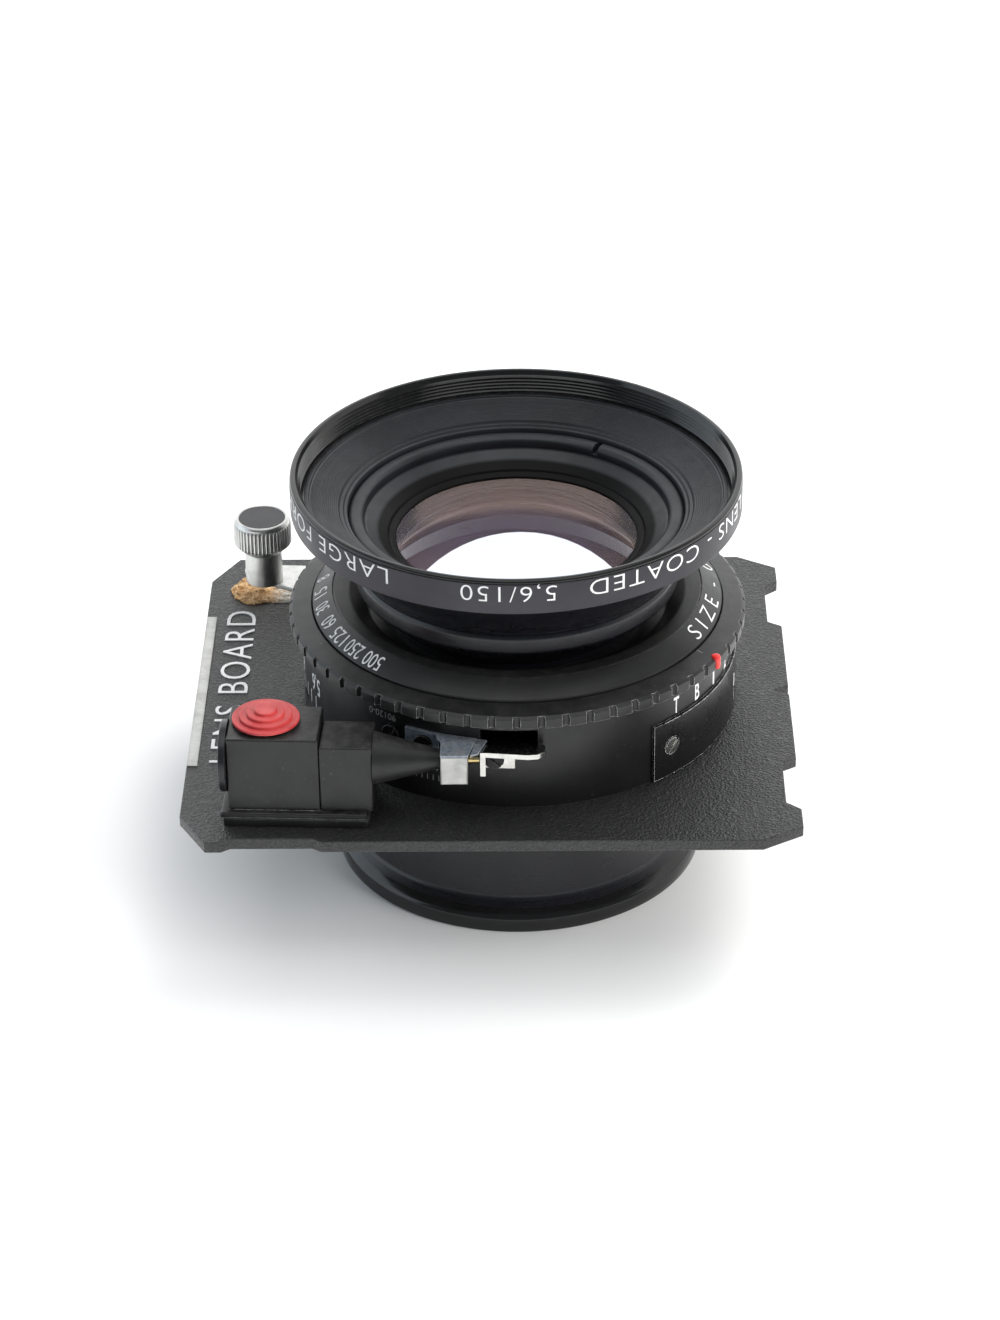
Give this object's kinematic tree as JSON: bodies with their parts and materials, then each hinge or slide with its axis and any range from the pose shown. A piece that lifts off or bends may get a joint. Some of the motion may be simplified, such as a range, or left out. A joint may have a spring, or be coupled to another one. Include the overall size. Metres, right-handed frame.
{
  "type": "view camera lens on board",
  "caption": "Large-format lens in a leaf shutter with a notched speed ring, on a flat lens board with a cable release socket, red button and knurled aperture knob.",
  "frame": {"origin": "on the optical axis, in the plane of the rear rim", "axes": "+Z along the optical axis towards the front of the lens; -Y towards the side with the release lever; +X towards the board's notched edge"},
  "size_m": [0.081, 0.0742, 0.0571],
  "materials": {
    "board_coat": "fine crinkle black coat",
    "label": "matt white",
    "adhesive": "crumbly dried adhesive",
    "black_anodised": "satin black anodised",
    "case_black": "satin black",
    "dial_black": "satin black with white figures",
    "ring_black": "satin black with notched edge",
    "name_ring_grey": "satin dark grey, glossy rim",
    "blade_steel": "blackened spring steel",
    "bright_steel": "polished",
    "blued_steel": "bluish bare steel",
    "nickel": "satin nickel",
    "brass": "polished",
    "screw_black": "blackened",
    "socket_black": "satin black with worn edges",
    "button_red": "moulded",
    "spring_steel": "bare",
    "cone_black": "matt",
    "index_red": "enamel",
    "glass": "coated optical glass"
  },
  "bodies": {
    "lens": {"adhesive_patch": "adhesive", "board_label": "label", "bracket_screws": "screw_black", "button_spring": "spring_steel", "cable_cone": "cone_black", "cover_screw": "screw_black", "divider_plate": "case_black", "face_plate": "dial_black", "front_barrel": "black_anodised", "front_glass_cemented": "glass", "front_glass_inner": "glass", "front_glass_outer": "glass", "front_inner_ring": "black_anodised", "front_retaining_ring": "black_anodised", "jam_nut": "black_anodised", "lens_board": "board_coat", "lever_plate": "bright_steel", "main_spring": "spring_steel", "mechanism_plate": "case_black", "name_ring": "name_ring_grey", "rear_barrel": "black_anodised", "rear_glass_cemented": "glass", "rear_glass_inner": "glass", "rear_glass_outer": "glass", "rear_retaining_ring": "black_anodised", "release_bracket": "blued_steel", "release_socket": "nickel", "shutter_case": "case_black", "side_cover_plate": "case_black", "socket_base_plate": "socket_black", "socket_block": "socket_black", "socket_collar": "socket_black", "socket_extension": "socket_black", "sync_terminal": "nickel"},
    "speed_ring": {"speed_ring": "ring_black", "speed_index": "index_red"},
    "iris_control": {"iris_ring": "brass", "iris_lever": "bright_steel", "knob_post": "nickel", "knob_head": "nickel", "knob_inlay": "cone_black"},
    "blade_drive": {"blade_ring": "brass", "preview_lever": "bright_steel"},
    "cocking_lever": {"cocking_lever": "bright_steel"},
    "release_lever": {"release_lever": "bright_steel"},
    "transfer_pin": {"transfer_pin": "brass"},
    "retard_gear": {"retard_gear": "brass"},
    "retard_pinion": {"retard_pinion": "brass"},
    "release_button": {"release_button": "button_red", "latch_plate": "spring_steel"},
    "iris_blade_1": {"iris_blade_1": "blade_steel"},
    "iris_blade_2": {"iris_blade_2": "blade_steel"},
    "iris_blade_3": {"iris_blade_3": "blade_steel"},
    "iris_blade_4": {"iris_blade_4": "blade_steel"},
    "iris_blade_5": {"iris_blade_5": "blade_steel"},
    "shutter_blade_1": {"shutter_blade_1": "blade_steel"},
    "shutter_blade_2": {"shutter_blade_2": "blade_steel"},
    "shutter_blade_3": {"shutter_blade_3": "blade_steel"},
    "shutter_blade_4": {"shutter_blade_4": "blade_steel"},
    "shutter_blade_5": {"shutter_blade_5": "blade_steel"}
  },
  "joints": [
    {"name": "speed_ring_turn", "type": "hinge", "parent": "lens", "child": "speed_ring", "pos_m": [0, 0, 0.0357], "axis": [0, 0, 1], "range_deg": [-16, 72]},
    {"name": "iris_lever_turn", "type": "hinge", "parent": "lens", "child": "iris_control", "pos_m": [0, 0, 0.0257], "axis": [0, 0, 1], "range_deg": [0, 48]},
    {"name": "preview_lever_turn", "type": "hinge", "parent": "lens", "child": "blade_drive", "pos_m": [0, 0, 0.0292], "axis": [0, 0, 1], "range_deg": [0, 14]},
    {"name": "cocking_lever_turn", "type": "hinge", "parent": "lens", "child": "cocking_lever", "pos_m": [0, 0, 0.0313], "axis": [0, 0, 1], "range_deg": [-50, 0], "stiffness_Nm_per_rad": 0.001},
    {"name": "release_lever_turn", "type": "hinge", "parent": "lens", "child": "release_lever", "pos_m": [-0.0017, -0.023, 0.0322], "axis": [0, 0, 1], "range_deg": [0, 7], "stiffness_Nm_per_rad": 0.0005},
    {"name": "retard_gear_turn", "type": "hinge", "parent": "lens", "child": "retard_gear", "pos_m": [-0.02181, -0.00464, 0.032], "axis": [0, 0, 1], "range_deg": [0, 170]},
    {"name": "retard_pinion_turn", "type": "hinge", "parent": "lens", "child": "retard_pinion", "pos_m": [-0.02275, -0.00023, 0.032], "axis": [0, 0, 1], "range_deg": [-340, 0]},
    {"name": "transfer_pin_push", "type": "slide", "parent": "lens", "child": "transfer_pin", "axis": [1, 0, 0], "range_m": [0, 0.00091]},
    {"name": "release_button_press", "type": "slide", "parent": "lens", "child": "release_button", "axis": [0, 0, -1], "range_m": [0, 0.00035], "stiffness_N_per_m": 200, "deforming": ["button_spring"]},
    {"name": "iris_blade_1_swing", "type": "hinge", "parent": "lens", "child": "iris_blade_1", "pos_m": [0.02302, 0.00838, 0.02412], "axis": [0, 0, 1], "range_deg": [0, 20]},
    {"name": "shutter_blade_1_swing", "type": "hinge", "parent": "lens", "child": "shutter_blade_1", "pos_m": [0.0253, 0, 0.02762], "axis": [0, 0, 1], "range_deg": [0, 29.6]},
    {"name": "iris_blade_2_swing", "type": "hinge", "parent": "lens", "child": "iris_blade_2", "pos_m": [-0.00085, 0.02448, 0.02438], "axis": [0, 0, 1], "range_deg": [0, 20]},
    {"name": "shutter_blade_2_swing", "type": "hinge", "parent": "lens", "child": "shutter_blade_2", "pos_m": [0.00782, 0.02406, 0.02788], "axis": [0, 0, 1], "range_deg": [0, 29.6]},
    {"name": "iris_blade_3_swing", "type": "hinge", "parent": "lens", "child": "iris_blade_3", "pos_m": [-0.02355, 0.00675, 0.02464], "axis": [0, 0, 1], "range_deg": [0, 20]},
    {"name": "shutter_blade_3_swing", "type": "hinge", "parent": "lens", "child": "shutter_blade_3", "pos_m": [-0.02047, 0.01487, 0.02814], "axis": [0, 0, 1], "range_deg": [0, 29.6]},
    {"name": "iris_blade_4_swing", "type": "hinge", "parent": "lens", "child": "iris_blade_4", "pos_m": [-0.0137, -0.02031, 0.0249], "axis": [0, 0, 1], "range_deg": [0, 20]},
    {"name": "shutter_blade_4_swing", "type": "hinge", "parent": "lens", "child": "shutter_blade_4", "pos_m": [-0.02047, -0.01487, 0.0284], "axis": [0, 0, 1], "range_deg": [0, 29.6]},
    {"name": "iris_blade_5_swing", "type": "hinge", "parent": "lens", "child": "iris_blade_5", "pos_m": [0.01508, -0.01931, 0.02516], "axis": [0, 0, 1], "range_deg": [0, 20]},
    {"name": "shutter_blade_5_swing", "type": "hinge", "parent": "lens", "child": "shutter_blade_5", "pos_m": [0.00782, -0.02406, 0.02866], "axis": [0, 0, 1], "range_deg": [0, 29.6]}
  ],
  "couplings": [
    {"joint": "transfer_pin_push", "follows": "release_lever_turn", "m_per_rad": 0.0074},
    {"joint": "retard_pinion_turn", "follows": "retard_gear_turn", "ratio": -2},
    {"joint": "iris_blade_1_swing", "follows": "iris_lever_turn", "ratio": 0.4166},
    {"joint": "shutter_blade_1_swing", "follows": "preview_lever_turn", "ratio": 2.11},
    {"joint": "iris_blade_2_swing", "follows": "iris_lever_turn", "ratio": 0.4166},
    {"joint": "shutter_blade_2_swing", "follows": "preview_lever_turn", "ratio": 2.11},
    {"joint": "iris_blade_3_swing", "follows": "iris_lever_turn", "ratio": 0.4166},
    {"joint": "shutter_blade_3_swing", "follows": "preview_lever_turn", "ratio": 2.11},
    {"joint": "iris_blade_4_swing", "follows": "iris_lever_turn", "ratio": 0.4166},
    {"joint": "shutter_blade_4_swing", "follows": "preview_lever_turn", "ratio": 2.11},
    {"joint": "iris_blade_5_swing", "follows": "iris_lever_turn", "ratio": 0.4166},
    {"joint": "shutter_blade_5_swing", "follows": "preview_lever_turn", "ratio": 2.11}
  ]
}
